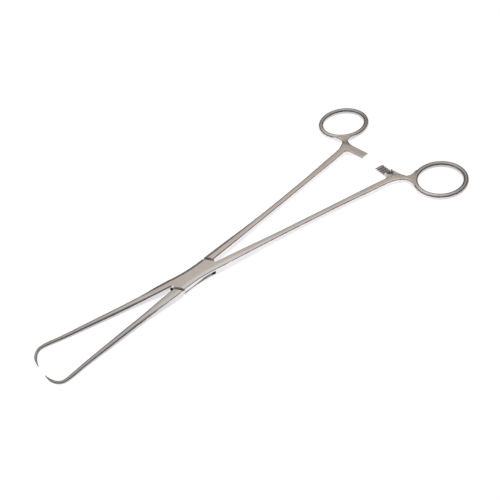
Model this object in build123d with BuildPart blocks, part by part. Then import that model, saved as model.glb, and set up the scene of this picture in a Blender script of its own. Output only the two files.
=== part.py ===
import os
from math import asin, atan2, cos, degrees, radians, sin, tan

from build123d import *

# Tenaculum forceps with a box joint, lying open on a table.
# The pivot is the Z axis, the jaws point along -X and the finger rings lie at +X.
# The table is the plane z = 0. From the middle of the joint's thickness the shanks
# fall a little to the rings, which nearly touch the table, and the jaws rise to the hooks.
# Sizes are in millimetres, angles in degrees.

# box joint
joint_thickness = 5.2
joint_waist_half = 4.85      # half width of the plates at the pivot
joint_end_half = 6.03        # half width of the joint at the crotches
plate_end_distance = 10.8    # from the pivot to the slanted plate ends
plate_end_angle = 31.5       # direction that the plate ends face
joint_bevel = 2.1            # across each face, along the joint's long edges
joint_bevel_drop = 0.45
joint_rounding = 0.75        # of the edges that the bevels leave
crotch_half_gap = 1.05       # from the middle line to the inner face of each root
root_overlap = 0.1           # shank and jaw start this far inside the joint
root_step = 0.05             # and this far below its faces

# slot through the box half and waist of the tongue half
slot_height = 2.0
slot_wall_distance = 11.3
slot_wall_angle = -43.0
waist_play = 0.05            # above and below the waist
waist_half_width = 4.4
waist_end_play = 0.26        # between waist end and slot wall, closed
shoulder_play = 1.1          # between shoulder and plate end, closed
waist_root_depth = 0.4       # waist run into the solid behind the shoulder
waist_root_rise = 1.8
waist_crotch_depth = 0.2

# pivot pin, pressed in the plates and running in the waist
pin_diameter = 3.6
pin_running_play = 0.03

# opening shown, from the fully closed instrument
closing_angle = 8.0

# shanks
shank_end_run = 8.2          # they end this far before the middle of the ratchet arms
shank_end_y = 19.15
ring_drop = 0.3              # middle of the rings below the middle of the joint
shank_bow = 0.6
shank_width = 3.5
shank_height = 3.6
shank_bevel = 1.1            # on the side away from the other shank
shank_bevel_drop = 0.26
shank_corner = 0.65          # on the side towards it
shank_rounding = 0.9
shank_flare = 0.9            # wider by this at the ratchet

# jaws and hooks
jaw_end_x = 81.6
jaw_end_y = 12.5
jaw_rise = 2.5               # middle of the jaw's end above the middle of the joint
jaw_bow = 0.5
jaw_middle_size = 3.75       # width and height where the jaw turns round
round_corner = 0.29          # corner cut and rounding of a round bar, as shares of its size
round_edge = 0.36
hook_diameter = 1.95
hook_bend_radius = 5.2
hook_bend_turn = 75.0
hook_point_radius = 14.0
hook_point_turn = 23.5
hook_mid_diameter = 1.45
hook_tip_diameter = 0.22
hook_side_step = 0.75        # the points stand apart in height and pass each other

# ratchet
ratchet_radius = 134.2       # from the pivot to the middle of the arms
arm_width = 5.8
arm_tip_y = 5.5
head_height = 3.6
tooth_pitch = 1.8
tooth_depth = 0.75
tooth_count = 5
arm_play = 0.12              # between the facing tooth tips
arm_back_rounding = 0.7
gusset_radius = 4.4          # hollow corner between shank and arm
gusset_corner_drop = 1.55    # its corner below the end of the shank's middle line
gusset_depth = 0.25          # its ends run this far into shank and arm
gusset_step = 0.5            # top and bottom of the gusset below the shank's
outer_gusset_drop = 5.6      # the hollow corner on the ring's side starts this far below the root

# neck between ratchet and finger ring: places counted from the end of the shank
head_start_run = 4.5
head_start_rise = 1.05
head_start_angle = 15.0
head_start_width = 5.0
head_end_run = 7.9
head_end_rise = 2.8
head_end_angle = 38.0
head_end_width = 5.3
head_end_height = 3.5
neck_run = 10.2
neck_rise = 5.4
neck_angle = 56.0
neck_width = 3.8
neck_height = 3.0

# finger rings, each held by a flat web at its foot
ring_hole_length = 27.6
ring_hole_width = 23.7
ring_wire_width = 3.4
ring_wire_rise = 0.2         # more than its width, upwards
ring_foot_angle = 228.0      # where the neck comes in, round the ring's middle
ring_foot_distance = 5.75    # from the narrowest place of the neck
web_height = 2.9
web_foot_width = 14.5
web_end_share = 1.345        # of its width at the foot, farther in
web_start_share = 0.51       # and nearer the neck
web_end_run = 2.9
web_shift = 1.0              # of the web's middle towards the other ring
web_start_height = 3.1
web_start_run = 2.4

middle = joint_thickness / 2
joint_end_x = (
    plate_end_distance + crotch_half_gap * sin(radians(plate_end_angle))
) / cos(radians(plate_end_angle))
cut_length = 4 * joint_end_x
shank_end_x = ratchet_radius - shank_end_run
ring_line_length = ring_hole_length + ring_wire_width
ring_line_width = ring_hole_width + ring_wire_width
ring_wire_height = ring_wire_width + ring_wire_rise
foot_x = shank_end_x + neck_run + ring_foot_distance * cos(radians(neck_angle))
foot_y = shank_end_y + neck_rise + ring_foot_distance * sin(radians(neck_angle))
ring_x = foot_x - ring_line_length / 2 * cos(radians(ring_foot_angle))
ring_y = foot_y - ring_line_width / 2 * sin(radians(ring_foot_angle))


def cross_section(at, heading, width, height, outer, bevel, drop, corner, rounding):
    """Section of a bar that runs in the direction heading, bevelled on its outer side.

    The outer side is +1 to the left of the direction and -1 to the right."""
    a = radians(heading)
    plane = Plane(origin=at, x_dir=(-sin(a), cos(a), 0), z_dir=(cos(a), sin(a), 0))
    high = height / 2
    out = outer * width / 2
    with BuildSketch(plane) as outline:
        with BuildLine():
            Polyline(
                (out, drop - high),
                (out, high - drop),
                (out - outer * bevel, high),
                (outer * corner - out, high),
                (-out, high - corner),
                (-out, corner - high),
                (outer * corner - out, -high),
                (out - outer * bevel, -high),
                close=True,
            )
        make_face()
        fillet(outline.vertices(), rounding)
    return outline.sketch


def round_section(at, heading, outer, size):
    """Nearly round section of the same make."""
    corner = round_corner * size
    return cross_section(at, heading, size, size, outer, corner, corner, corner, round_edge * size)


def blend(start, end, share):
    """Smooth change from start to end."""
    s = share * share * (3 - 2 * share)
    return start + (end - start) * s


def joint_root_width():
    return joint_end_half - root_step - crotch_half_gap


def joint_root_y():
    return (joint_end_half - root_step + crotch_half_gap) / 2


def joint_root_x():
    return joint_end_x - root_overlap


def joint_root_section(start, heading, outer):
    """Section hidden in the end of the joint, where a shank or jaw grows out of it."""
    return cross_section(
        (*start, middle),
        heading,
        joint_root_width(),
        joint_thickness - 2 * root_step,
        outer,
        joint_bevel,
        joint_bevel_drop,
        shank_corner,
        joint_rounding,
    )


def shank_z(x):
    """Height of the middle line over the distance x from the pivot, towards the rings."""
    share = max(x - joint_end_x, 0) / (ring_x - joint_end_x)
    return middle - ring_drop * min(share, 1)


def shank_and_neck(side):
    """Shank from the joint, neck and web inside the ring, on the side +1 or -1."""
    start = (joint_root_x(), side * joint_root_y())
    end = (shank_end_x, side * shank_end_y)
    mid = ((start[0] + end[0]) / 2, (start[1] + end[1]) / 2 - side * shank_bow)
    line = ThreePointArc(start, mid, end)
    sections = [joint_root_section(start, 0, side)]
    for share in (0.03, 0.08, 0.16, 0.28, 0.45, 0.65, 0.85, 0.94, 1.0):
        at = line @ share
        way = line % share
        slim = min(share / 0.4, 1.0)
        width = blend(joint_root_width() * 0.98, shank_width, slim)
        height = blend(joint_thickness - 2 * root_step, shank_height, slim)
        bevel = blend(joint_bevel, shank_bevel, slim)
        drop = blend(joint_bevel_drop, shank_bevel_drop, slim)
        rounding = blend(joint_rounding, shank_rounding, slim)
        if share > 0.65:
            width = blend(shank_width, shank_width + shank_flare, (share - 0.65) / 0.35)
            height = blend(shank_height, head_height, (share - 0.65) / 0.35)
        heading = degrees(atan2(way.Y, way.X))
        place = (at.X, at.Y, shank_z(at.X))
        sections.append(
            cross_section(place, heading, width, height, side, bevel, drop, shank_corner, rounding)
        )
    with BuildPart() as bar:
        loft(sections=sections + neck_sections(side))
        with BuildSketch():
            with Locations((ring_x, side * ring_y)):
                Ellipse(ring_line_length / 2, ring_line_width / 2)
        extrude(amount=joint_thickness, mode=Mode.SUBTRACT)
    return bar.part


def jaw_bar(side, lift):
    """Jaw and hook on the side +1 or -1, its point raised by lift."""
    start = (-joint_root_x(), side * joint_root_y())
    end = (-jaw_end_x, side * jaw_end_y)
    mid = ((start[0] + end[0]) / 2, (start[1] + end[1]) / 2 - side * jaw_bow)
    jaw = ThreePointArc(start, mid, end)
    sections = [joint_root_section(start, 180, -side)]
    for share in (0.05, 0.14, 0.28, 0.48, 0.7, 0.9, 1.0):
        at = jaw @ share
        way = jaw % share
        slim = min(share / 0.4, 1.0)
        width = blend(joint_root_width() * 0.98, jaw_middle_size, slim)
        height = blend(joint_thickness - 2 * root_step, jaw_middle_size, slim)
        bevel = blend(joint_bevel, round_corner * jaw_middle_size, slim)
        drop = blend(joint_bevel_drop, round_corner * jaw_middle_size, slim)
        corner = blend(shank_corner, round_corner * jaw_middle_size, slim)
        rounding = blend(joint_rounding, round_edge * jaw_middle_size, slim)
        heading = degrees(atan2(way.Y, way.X))
        place = (at.X, at.Y, middle + jaw_rise * share)
        if share > 0.4:
            size = jaw_middle_size + (hook_diameter - jaw_middle_size) * (share - 0.4) / 0.6
            sections.append(round_section(place, heading, -side, size))
        else:
            sections.append(
                cross_section(place, heading, width, height, -side, bevel, drop, corner, rounding)
            )
    bend = JernArc(jaw @ 1, jaw % 1, hook_bend_radius, side * hook_bend_turn)
    for share in (0.3, 0.65, 1.0):
        at = bend @ share
        way = bend % share
        size = hook_diameter + (hook_mid_diameter - hook_diameter) * share
        heading = degrees(atan2(way.Y, way.X))
        height = middle + jaw_rise + blend(0, lift, share)
        sections.append(round_section((at.X, at.Y, height), heading, -side, size))
    point = JernArc(bend @ 1, bend % 1, hook_point_radius, side * hook_point_turn)
    for share in (0.35, 0.7, 1.0):
        at = point @ share
        way = point % share
        size = hook_mid_diameter + (hook_tip_diameter - hook_mid_diameter) * share ** 1.25
        heading = degrees(atan2(way.Y, way.X))
        place = (at.X, at.Y, middle + jaw_rise + lift)
        sections.append(round_section(place, heading, -side, size))
    with BuildPart() as bar:
        loft(sections=sections)
    return bar.part


def joint_block(side):
    """Middle of one half with its two slanted ends; the shank leaves it on the given side."""
    with BuildPart() as block:
        with BuildSketch():
            with BuildLine():
                ThreePointArc(
                    (-joint_end_x, joint_end_half), (0, joint_waist_half), (joint_end_x, joint_end_half)
                )
                Line((joint_end_x, joint_end_half), (joint_end_x, -joint_end_half))
                ThreePointArc(
                    (joint_end_x, -joint_end_half),
                    (0, -joint_waist_half),
                    (-joint_end_x, -joint_end_half),
                )
                Line((-joint_end_x, -joint_end_half), (-joint_end_x, joint_end_half))
            make_face()
        extrude(amount=joint_thickness)
        for face_place in (0, -1):
            face = block.faces().sort_by(Axis.Z)[face_place]
            chamfer(
                face.edges().filter_by(GeomType.CIRCLE),
                length=joint_bevel,
                length2=joint_bevel_drop,
                reference=face,
            )
        long_edges = block.edges().filter_by(lambda e: abs(e.length - 2 * joint_end_x) < joint_bevel)
        fillet(long_edges, joint_rounding)
        for turn in (0, 180):
            away = turn - side * plate_end_angle
            a = radians(away)
            plate_end = Plane(
                origin=(plate_end_distance * cos(a), plate_end_distance * sin(a), 0),
                x_dir=(cos(a), sin(a), 0),
                z_dir=(0, 0, 1),
            )
            with BuildSketch(plate_end):
                Rectangle(joint_end_x, cut_length, align=(Align.MIN, Align.CENTER))
            extrude(amount=joint_thickness, mode=Mode.SUBTRACT)
    return block.part


def waist_corners():
    """Outline of the waist at the opening shown, corner by corner round the pivot."""
    open_half = radians(closing_angle / 2)
    end_turn = radians(slot_wall_angle + closing_angle)
    shoulder_turn = radians(plate_end_angle + closing_angle)
    end_distance = slot_wall_distance - waist_end_play
    shoulder_distance = plate_end_distance + shoulder_play
    side_rise = waist_half_width / cos(open_half)
    low_x = (end_distance + side_rise * sin(end_turn)) / (
        cos(end_turn) + tan(open_half) * sin(end_turn)
    )
    high_x = (shoulder_distance - side_rise * sin(shoulder_turn)) / (
        cos(shoulder_turn) + tan(open_half) * sin(shoulder_turn)
    )
    high_x = high_x + waist_root_depth
    crotch_y = crotch_half_gap + waist_crotch_depth
    crotch_x = (end_distance - crotch_y * sin(end_turn)) / cos(end_turn)
    right = [
        (low_x, -side_rise + low_x * tan(open_half)),
        (crotch_x, crotch_y),
        (crotch_x, crotch_y + waist_root_rise),
        (high_x, side_rise + high_x * tan(open_half)),
    ]
    return right + [(-x, -y) for x, y in right]


def neck_sections(side):
    """Sections from the end of the shank through the neck to the web at the ring's foot."""
    to_foot_x = foot_x - shank_end_x
    to_foot_y = foot_y - shank_end_y
    way_x = cos(radians(neck_angle))
    way_y = sin(radians(neck_angle))
    sections = []
    shift_x = web_shift * way_y
    shift_y = -web_shift * way_x
    for run, rise, heading, width, height in (
        (head_start_run, head_start_rise, head_start_angle, head_start_width, head_height),
        (head_end_run, head_end_rise, head_end_angle, head_end_width, head_end_height),
        (neck_run, neck_rise, neck_angle, neck_width, neck_height),
        (
            to_foot_x - web_start_run * way_x + shift_x / 2,
            to_foot_y - web_start_run * way_y + shift_y / 2,
            neck_angle,
            web_start_share * web_foot_width,
            web_start_height,
        ),
        (
            to_foot_x + shift_x,
            to_foot_y + shift_y,
            neck_angle,
            web_foot_width,
            web_height,
        ),
        (
            to_foot_x + web_end_run * way_x + shift_x,
            to_foot_y + web_end_run * way_y + shift_y,
            neck_angle,
            web_end_share * web_foot_width,
            web_height,
        ),
    ):
        at = (shank_end_x + run, side * (shank_end_y + rise), shank_z(shank_end_x + run))
        sections.append(
            cross_section(
                at,
                side * heading,
                width,
                height,
                side,
                shank_bevel,
                shank_bevel_drop,
                shank_corner,
                shank_rounding,
            )
        )
    return sections


def finger_ring(side):
    """Closed wire of oval section round the finger hole."""
    with BuildPart() as ring:
        with BuildLine(Plane.XY.offset(middle - ring_drop)):
            EllipticalCenterArc(
                (ring_x, side * ring_y),
                ring_line_length / 2,
                ring_line_width / 2,
                start_angle=0,
                arc_size=360,
            )
        start = Plane(
            origin=(ring_x + ring_line_length / 2, side * ring_y, middle - ring_drop),
            x_dir=(1, 0, 0),
            z_dir=(0, 1, 0),
        )
        with BuildSketch(start):
            Ellipse(ring_wire_width / 2, ring_wire_height / 2)
        sweep()
    return ring.part


def shank_heading():
    start = (joint_root_x(), joint_root_y())
    end = (shank_end_x, shank_end_y)
    mid = ((start[0] + end[0]) / 2, (start[1] + end[1]) / 2 - shank_bow)
    way = ThreePointArc(start, mid, end) % 1
    return degrees(atan2(way.Y, way.X))


def ratchet_arm(side):
    """Arm that reaches across to the other shank, toothed on the face it turns to the other arm."""
    arm_middle_y = (arm_tip_y + shank_end_y) / 2
    lean = asin(arm_middle_y / ratchet_radius)
    plane = Plane(
        origin=(ratchet_radius * cos(lean), side * arm_middle_y, shank_z(ratchet_radius)),
        x_dir=(sin(lean), -side * cos(lean), 0),
        z_dir=(-side * cos(lean), -sin(lean), 0),
    )
    tip = (arm_middle_y - arm_tip_y) / cos(lean)
    root = -(shank_end_y - arm_middle_y) / cos(lean)
    crest = side * arm_play / 2
    valley = side * (arm_play / 2 + tooth_depth)
    back = side * head_height / 2
    with BuildPart() as arm:
        with BuildSketch(plane):
            with BuildLine():
                points = [(tip, back), (tip, valley)]
                for tooth in range(tooth_count):
                    edge = tip - (tooth + 1) * tooth_pitch
                    points += [(edge, crest), (edge, valley)]
                points += [(root, valley), (root, back)]
                Polyline(*points, close=True)
            make_face()
        extrude(amount=arm_width / 2, both=True)
        far = arm.faces().sort_by(Axis.Z)[-1 if side > 0 else 0]
        fillet(far.edges().filter_by(lambda e: e.length > arm_width * 1.2), arm_back_rounding)
    return arm.part


def root_gusset(side):
    """Hollow corner between the inner side of the shank and the ratchet arm."""
    arm_middle_y = (arm_tip_y + shank_end_y) / 2
    lean = asin(arm_middle_y / ratchet_radius)
    side_x = ratchet_radius * cos(lean) - arm_width / 2 / cos(lean) + gusset_depth
    corner_y = shank_end_y - gusset_corner_drop + gusset_depth
    corner = (side_x - (corner_y - arm_middle_y) * tan(lean), corner_y)
    heading = radians(shank_heading())
    on_shank = (
        corner[0] - gusset_radius * cos(heading),
        corner[1] - gusset_radius * sin(heading),
    )
    on_arm = (
        corner[0] + gusset_radius * sin(lean),
        corner[1] - gusset_radius * cos(lean),
    )
    hollow = 1 - sin(radians(45))
    deepest = (
        corner[0] - gusset_radius * hollow * (cos(heading) - sin(lean)),
        corner[1] - gusset_radius * hollow * (sin(heading) + cos(lean)),
    )
    inside = (corner[0] + arm_width / 4, corner[1] + shank_width / 4)
    with BuildPart() as gusset:
        with BuildSketch(Plane.XY.offset(shank_z(ratchet_radius))):
            with BuildLine():
                ThreePointArc(
                    (on_shank[0], side * on_shank[1]),
                    (deepest[0], side * deepest[1]),
                    (on_arm[0], side * on_arm[1]),
                )
                Polyline(
                    (on_arm[0], side * on_arm[1]),
                    (inside[0], side * inside[1]),
                    (on_shank[0], side * (on_shank[1] + shank_width / 4)),
                    (on_shank[0], side * on_shank[1]),
                )
            make_face()
        extrude(amount=head_height / 2 - gusset_step, both=True)
    return gusset.part


def outer_gusset(side):
    """Hollow corner between the neck and the side of the ratchet arm that faces the ring."""
    arm_middle_y = (arm_tip_y + shank_end_y) / 2
    lean = asin(arm_middle_y / ratchet_radius)
    side_x = ratchet_radius * cos(lean) + arm_width / 2 / cos(lean) - gusset_depth
    low_y = shank_end_y - outer_gusset_drop
    low = (side_x - (low_y - arm_middle_y) * tan(lean), side * low_y)
    reach = neck_width / 2 - gusset_depth
    high = (
        shank_end_x + neck_run + reach * sin(radians(neck_angle)),
        side * (shank_end_y + neck_rise - reach * cos(radians(neck_angle))),
    )
    inside = (ratchet_radius * cos(lean), side * shank_end_y)
    with BuildPart() as gusset:
        with BuildSketch(Plane.XY.offset(shank_z(ratchet_radius))):
            with BuildLine():
                TangentArc(low, high, tangent=(-sin(lean), side * cos(lean)))
                Polyline(high, inside, low)
            make_face()
        extrude(amount=neck_height / 2 - gusset_depth, both=True)
    return gusset.part


def slot_space():
    """Room that the waist turns in, through the box half."""
    turn = radians(slot_wall_angle)
    with BuildPart() as room:
        with BuildSketch(Plane(origin=(0, 0, middle), x_dir=(cos(turn), sin(turn), 0), z_dir=(0, 0, 1))):
            Rectangle(2 * slot_wall_distance, cut_length)
        extrude(amount=slot_height / 2, both=True)
    return room.part


def plate_space():
    """Room that the plates take out of the tongue half, up to its shoulders."""
    turn = radians(plate_end_angle + closing_angle)
    with BuildPart() as room:
        with BuildSketch(Plane(origin=(0, 0, middle), x_dir=(cos(turn), sin(turn), 0), z_dir=(0, 0, 1))):
            Rectangle(2 * (plate_end_distance + shoulder_play), cut_length)
        extrude(amount=joint_thickness, both=True)
    return room.part


def blank(side, room):
    """One forged half with the given room cut out of it; its shank leaves on the given side."""
    with BuildPart() as forging:
        for bar in (joint_block(side), shank_and_neck(side), jaw_bar(-side, side * hook_side_step)):
            with BuildPart() as cut_bar:
                add(bar)
                add(room, mode=Mode.SUBTRACT)
            add(cut_bar.part)
        add(finger_ring(side))
        add(ratchet_arm(side))
        add(root_gusset(side))
        add(outer_gusset(side))
    return forging.part


with BuildPart() as box_half:
    add(blank(-1, slot_space()))
    Cylinder(pin_diameter / 2, 4 * joint_thickness, mode=Mode.SUBTRACT)

with BuildPart() as tongue_half:
    add(blank(1, plate_space()))
    with BuildSketch(Plane.XY.offset(middle)):
        with BuildLine():
            Polyline(*waist_corners(), close=True)
        make_face()
    extrude(amount=slot_height / 2 - waist_play, both=True)
    Cylinder(pin_diameter / 2 + pin_running_play, 4 * joint_thickness, mode=Mode.SUBTRACT)

with BuildPart() as joint_pin:
    Cylinder(
        pin_diameter / 2,
        joint_thickness,
        align=(Align.CENTER, Align.CENTER, Align.MIN),
    )

os.makedirs("parts", exist_ok=True)
box_half.part.label = "box_half"
tongue_half.part.label = "tongue_half"
joint_pin.part.label = "joint_pin"
export_step(box_half.part, "parts/box_half.step")
export_step(tongue_half.part, "parts/tongue_half.step")
export_step(joint_pin.part, "parts/joint_pin.step")
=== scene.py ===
import math

import bpy
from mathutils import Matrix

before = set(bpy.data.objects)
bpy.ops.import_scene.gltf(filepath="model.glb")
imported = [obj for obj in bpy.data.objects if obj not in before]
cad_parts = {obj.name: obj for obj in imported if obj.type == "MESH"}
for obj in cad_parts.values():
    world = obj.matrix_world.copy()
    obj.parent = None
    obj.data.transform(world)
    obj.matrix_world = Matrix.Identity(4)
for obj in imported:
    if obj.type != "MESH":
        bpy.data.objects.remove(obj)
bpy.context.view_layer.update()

# steel: lengths in metres, shares counted along the instrument from the hooks (0) to the rings (1)
steel_tone = (0.93, 0.91, 0.895)
steel_roughness = 0.25
pin_tone = (0.91, 0.89, 0.875)
pin_roughness = 0.27
hook_end_x = -0.09
ring_end_x = 0.17
# the steel's tone is darker towards the hooks and the rings
brightness_along = [(0.0, 0.54), (0.12, 0.66), (0.32, 0.96), (0.85, 1.0), (0.92, 0.66), (1.0, 0.64)]
# painted shade: colours that ambient occlusion lays into the joint's gaps and between the ratchet
# teeth
joint_painted_shade = (0.14, 0.125, 0.12)
tooth_painted_shade = (0.62, 0.6, 0.6)
painted_shade_shares = (0.5, 0.68)
corner_reach = 0.0022
corner_openness = (0.25, 0.56)
cloud_scale = 70.0
cloud_dimming = 0.93
grain_scale = 2600.0
grain_stretch = 0.12
grain_height = 0.00002
grain_strength = 0.04
crease_angle = 32.0
weld_distance = 0.000001

# table and room
table_size = 6.0
table_drop = 0.00002
table_paint = (0.9, 0.9, 0.92)
table_glow = (0.95, 0.94, 1.0)
table_glow_strength = 1.22
table_glow_share = 0.78
white = (1.0, 1.0, 1.0)
room_by_height = [
    (0.0, (0.05, 0.048, 0.05)),
    (0.38, (0.08, 0.072, 0.068)),
    (0.56, (0.40, 0.35, 0.305)),
    (0.7, (0.58, 0.51, 0.455)),
    (0.86, (0.62, 0.59, 0.565)),
    (1.0, (0.78, 0.78, 0.78)),
]
dark_side = (-0.45, -0.89, 0.0)
dark_side_strength = 0.5

# camera at the photograph's view
camera_place = (-0.10485, -0.20574, 0.25694)
camera_turn = (43.527, 4.618, -39.522)
camera_lens = 46.89


def colour_ramp(nodes, stops):
    """A ramp through the given (position, colour) stops, in rising order."""
    ramp = nodes.new("ShaderNodeValToRGB")
    elements = ramp.color_ramp.elements
    while len(elements) < len(stops):
        elements.new(1.0)
    for element, (position, colour) in zip(elements, stops):
        element.position = position
        element.color = colour + (1.0,)
    return ramp


def cloudy_tint(nodes, links, place, tone):
    """The steel's tone with faint cloudy patches."""
    clouds = nodes.new("ShaderNodeTexNoise")
    clouds.inputs["Scale"].default_value = cloud_scale
    clouds.inputs["Detail"].default_value = 3.0
    links.new(place, clouds.inputs["Vector"])
    dimmed = tuple(channel * cloud_dimming for channel in tone)
    tint = colour_ramp(nodes, [(0.3, dimmed), (0.7, tone)])
    links.new(clouds.outputs["Fac"], tint.inputs["Fac"])
    return tint.outputs["Color"]


def share_along(nodes, links, place):
    """How far a point lies along the instrument, from the hooks (0) to the rings (1)."""
    split = nodes.new("ShaderNodeSeparateXYZ")
    links.new(place, split.inputs["Vector"])
    share = nodes.new("ShaderNodeMapRange")
    share.inputs["From Min"].default_value = hook_end_x
    share.inputs["From Max"].default_value = ring_end_x
    links.new(split.outputs["X"], share.inputs["Value"])
    return share.outputs["Result"]


def darkened_towards_ends(nodes, links, tint, along):
    """The tint made darker towards the hooks and the rings."""
    tone_along_ramp = colour_ramp(nodes, [(share, (grey, grey, grey)) for share, grey in brightness_along])
    links.new(along, tone_along_ramp.inputs["Fac"])
    darkened = nodes.new("ShaderNodeMix")
    darkened.data_type = "RGBA"
    darkened.blend_type = "MULTIPLY"
    darkened.inputs["Factor"].default_value = 1.0
    links.new(tint, darkened.inputs["A"])
    links.new(tone_along_ramp.outputs["Color"], darkened.inputs["B"])
    return darkened.outputs["Result"]


def painted_shade_in_corners(nodes, links, clean, along):
    """Painted shade in the joint's gaps, laid in by ambient occlusion, lighter between the ratchet
    teeth.
    """
    shade_colour = colour_ramp(nodes, [(painted_shade_shares[0], joint_painted_shade), (painted_shade_shares[1], tooth_painted_shade)])
    links.new(along, shade_colour.inputs["Fac"])
    corners = nodes.new("ShaderNodeAmbientOcclusion")
    corners.samples = 8
    corners.inputs["Distance"].default_value = corner_reach
    shade = nodes.new("ShaderNodeMapRange")
    shade.inputs["From Min"].default_value = corner_openness[0]
    shade.inputs["From Max"].default_value = corner_openness[1]
    links.new(corners.outputs["AO"], shade.inputs["Value"])
    corner_shaded = nodes.new("ShaderNodeMix")
    corner_shaded.data_type = "RGBA"
    links.new(shade.outputs["Result"], corner_shaded.inputs["Factor"])
    links.new(shade_colour.outputs["Color"], corner_shaded.inputs["A"])
    links.new(clean, corner_shaded.inputs["B"])
    return corner_shaded.outputs["Result"]


def ground_grain(nodes, links, place):
    """Fine grinding marks, drawn out along the instrument."""
    stretched = nodes.new("ShaderNodeMapping")
    stretched.inputs["Scale"].default_value = (grain_stretch, 1.0, 1.0)
    links.new(place, stretched.inputs["Vector"])
    grain = nodes.new("ShaderNodeTexNoise")
    grain.inputs["Scale"].default_value = grain_scale
    grain.inputs["Detail"].default_value = 3.0
    links.new(stretched.outputs["Vector"], grain.inputs["Vector"])
    return grain.outputs["Fac"]


def satin_steel(name, tone, roughness):
    """Satin stainless steel, ground along the instrument."""
    material = bpy.data.materials.new(name)
    material.use_nodes = True
    nodes = material.node_tree.nodes
    links = material.node_tree.links
    shader = nodes["Principled BSDF"]
    shader.inputs["Metallic"].default_value = 1.0

    place = nodes.new("ShaderNodeTexCoord").outputs["Object"]
    along = share_along(nodes, links, place)
    tint = cloudy_tint(nodes, links, place, tone)
    darkened = darkened_towards_ends(nodes, links, tint, along)
    # painted shade darkens the joint's gaps and the ratchet teeth
    corner_shaded = painted_shade_in_corners(nodes, links, darkened, along)
    links.new(corner_shaded, shader.inputs["Base Color"])

    grain = ground_grain(nodes, links, place)
    dullness = nodes.new("ShaderNodeMapRange")
    dullness.inputs["To Min"].default_value = roughness - 0.04
    dullness.inputs["To Max"].default_value = roughness + 0.05
    links.new(grain, dullness.inputs["Value"])
    links.new(dullness.outputs["Result"], shader.inputs["Roughness"])
    bump = nodes.new("ShaderNodeBump")
    bump.inputs["Strength"].default_value = grain_strength
    bump.inputs["Distance"].default_value = grain_height
    links.new(grain, bump.inputs["Height"])
    links.new(bump.outputs["Normal"], shader.inputs["Normal"])
    return material


def finish_piece(node, material):
    """Gives a CAD node its steel and smooth shading that keeps the ground edges crisp."""
    node.data.materials.clear()
    node.data.materials.append(material)
    for face in node.data.polygons:
        face.use_smooth = True
    weld = node.modifiers.new("weld", "WELD")
    weld.merge_threshold = weld_distance
    crease = node.modifiers.new("crease", "EDGE_SPLIT")
    crease.split_angle = math.radians(crease_angle)
    even = node.modifiers.new("even", "WEIGHTED_NORMAL")
    even.mode = "FACE_AREA"
    even.weight = 60


def white_table_material():
    """Matt white paint that also glows, pure white to the camera and a touch cool to the steel."""
    material = bpy.data.materials.new("white_table")
    material.use_nodes = True
    nodes = material.node_tree.nodes
    links = material.node_tree.links
    nodes.clear()
    paint = nodes.new("ShaderNodeBsdfDiffuse")
    paint.inputs["Color"].default_value = table_paint + (1.0,)
    paths = nodes.new("ShaderNodeLightPath")
    glow_tone = nodes.new("ShaderNodeMix")
    glow_tone.data_type = "RGBA"
    glow_tone.inputs["A"].default_value = table_glow + (1.0,)
    glow_tone.inputs["B"].default_value = white + (1.0,)
    links.new(paths.outputs["Is Camera Ray"], glow_tone.inputs["Factor"])
    glow = nodes.new("ShaderNodeEmission")
    glow.inputs["Strength"].default_value = table_glow_strength
    links.new(glow_tone.outputs["Result"], glow.inputs["Color"])
    surface = nodes.new("ShaderNodeMixShader")
    surface.inputs["Fac"].default_value = table_glow_share
    links.new(paint.outputs["BSDF"], surface.inputs[1])
    links.new(glow.outputs["Emission"], surface.inputs[2])
    output = nodes.new("ShaderNodeOutputMaterial")
    links.new(surface.outputs["Shader"], output.inputs["Surface"])
    return material


def white_table():
    """The table that the forceps lies on, just under its lowest point."""
    bpy.ops.object.select_all(action="DESELECT")
    bpy.ops.mesh.primitive_plane_add(size=table_size, location=(0, 0, -table_drop))
    table = bpy.context.object
    table.name = "table"
    table.data.materials.append(white_table_material())


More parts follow.
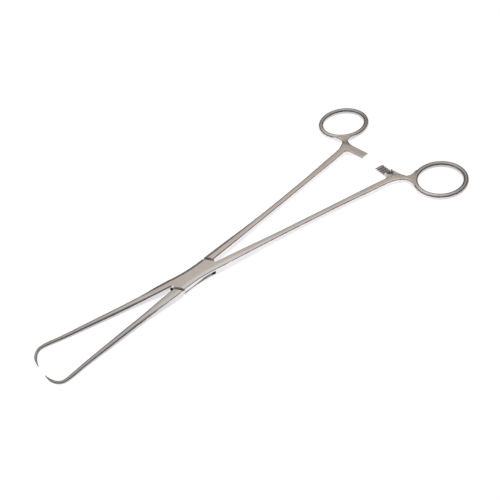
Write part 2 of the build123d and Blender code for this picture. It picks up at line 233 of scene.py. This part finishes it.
def grey_room():
    """A soft grey room, dark near the horizon and on one side, with white behind the table."""
    world = bpy.data.worlds.new("room")
    bpy.context.scene.world = world
    world.use_nodes = True
    nodes = world.node_tree.nodes
    links = world.node_tree.links
    nodes.clear()
    direction = nodes.new("ShaderNodeTexCoord").outputs["Generated"]
    split = nodes.new("ShaderNodeSeparateXYZ")
    links.new(direction, split.inputs["Vector"])
    tone = colour_ramp(nodes, room_by_height)
    links.new(split.outputs["Z"], tone.inputs["Fac"])
    side = nodes.new("ShaderNodeVectorMath")
    side.operation = "DOT_PRODUCT"
    side.inputs[1].default_value = dark_side
    links.new(direction, side.inputs[0])
    strength = nodes.new("ShaderNodeMapRange")
    strength.inputs["From Min"].default_value = 0.0
    strength.inputs["From Max"].default_value = 0.5
    strength.inputs["To Min"].default_value = 1.0
    strength.inputs["To Max"].default_value = dark_side_strength
    links.new(side.outputs["Value"], strength.inputs["Value"])
    room = nodes.new("ShaderNodeBackground")
    links.new(tone.outputs["Color"], room.inputs["Color"])
    links.new(strength.outputs["Result"], room.inputs["Strength"])
    backdrop = nodes.new("ShaderNodeBackground")
    backdrop.inputs["Color"].default_value = white + (1.0,)
    paths = nodes.new("ShaderNodeLightPath")
    choice = nodes.new("ShaderNodeMixShader")
    links.new(paths.outputs["Is Camera Ray"], choice.inputs["Fac"])
    links.new(room.outputs["Background"], choice.inputs[1])
    links.new(backdrop.outputs["Background"], choice.inputs[2])
    output = nodes.new("ShaderNodeOutputWorld")
    links.new(choice.outputs["Shader"], output.inputs["Surface"])


def photo_camera():
    """The camera, where the photograph was taken from."""
    turn = tuple(math.radians(angle) for angle in camera_turn)
    bpy.ops.object.camera_add(location=camera_place, rotation=turn)
    camera = bpy.context.object
    camera.name = "camera"
    camera.data.lens = camera_lens
    camera.data.sensor_width = 36.0
    camera.data.clip_start = 0.01
    bpy.context.scene.camera = camera


steel = satin_steel("satin_steel", steel_tone, steel_roughness)
pin_steel = satin_steel("pin_steel", pin_tone, pin_roughness)
for name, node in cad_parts.items():
    finish_piece(node, pin_steel if name == "joint_pin" else steel)

white_table()
grey_room()
photo_camera()
bpy.context.scene.view_settings.view_transform = "Standard"
